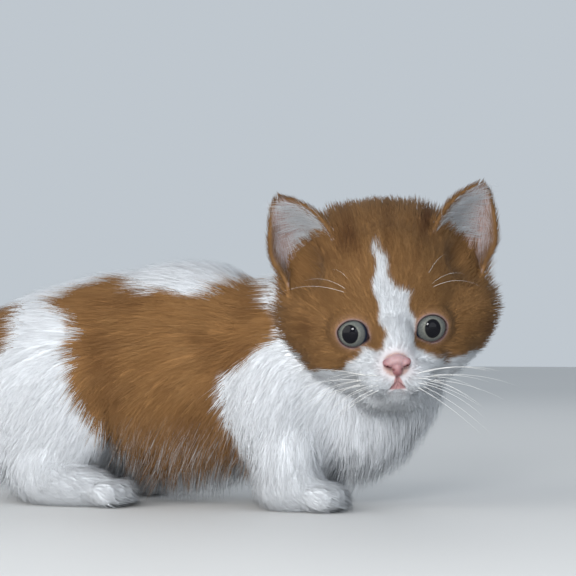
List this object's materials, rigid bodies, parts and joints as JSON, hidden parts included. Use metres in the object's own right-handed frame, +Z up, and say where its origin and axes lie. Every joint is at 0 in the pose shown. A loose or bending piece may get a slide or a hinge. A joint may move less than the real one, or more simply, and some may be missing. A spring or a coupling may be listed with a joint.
{
  "type": "munchkin cat",
  "caption": "Life-size still model of a short-legged long-coated kitten standing low with its head turned to one side.",
  "frame": {"origin": "on the floor under the middle of the model's box", "axes": "+X along the body towards the chest, +Y towards the cat's left side, +Z up"},
  "size_m": [0.2636, 0.0812, 0.1072],
  "materials": {
    "orange_coat": "soft long fur, orange with faint darker streaks",
    "white_coat": "soft long fur, white",
    "ear": "thin furred ear, orange outside and pinkish inside",
    "eye": "glossy, grey-green iris round a black pupil",
    "nose_skin": "matt pink skin"
  },
  "bodies": {
    "root": {"head": "orange_coat", "neck": "white_coat", "torso": "orange_coat", "tail_base": "orange_coat", "tail_mid": "orange_coat", "tail_tip": "orange_coat", "ear_left": "ear", "ear_right": "ear", "eye_left": "eye", "eye_right": "eye", "nose": "nose_skin", "foreleg_left": "white_coat", "foreleg_right": "white_coat", "forepaw_left": "white_coat", "forepaw_right": "white_coat", "hindleg_left": "white_coat", "hindleg_right": "white_coat", "hindpaw_left": "white_coat", "hindpaw_right": "white_coat"}
  },
  "joints": []
}
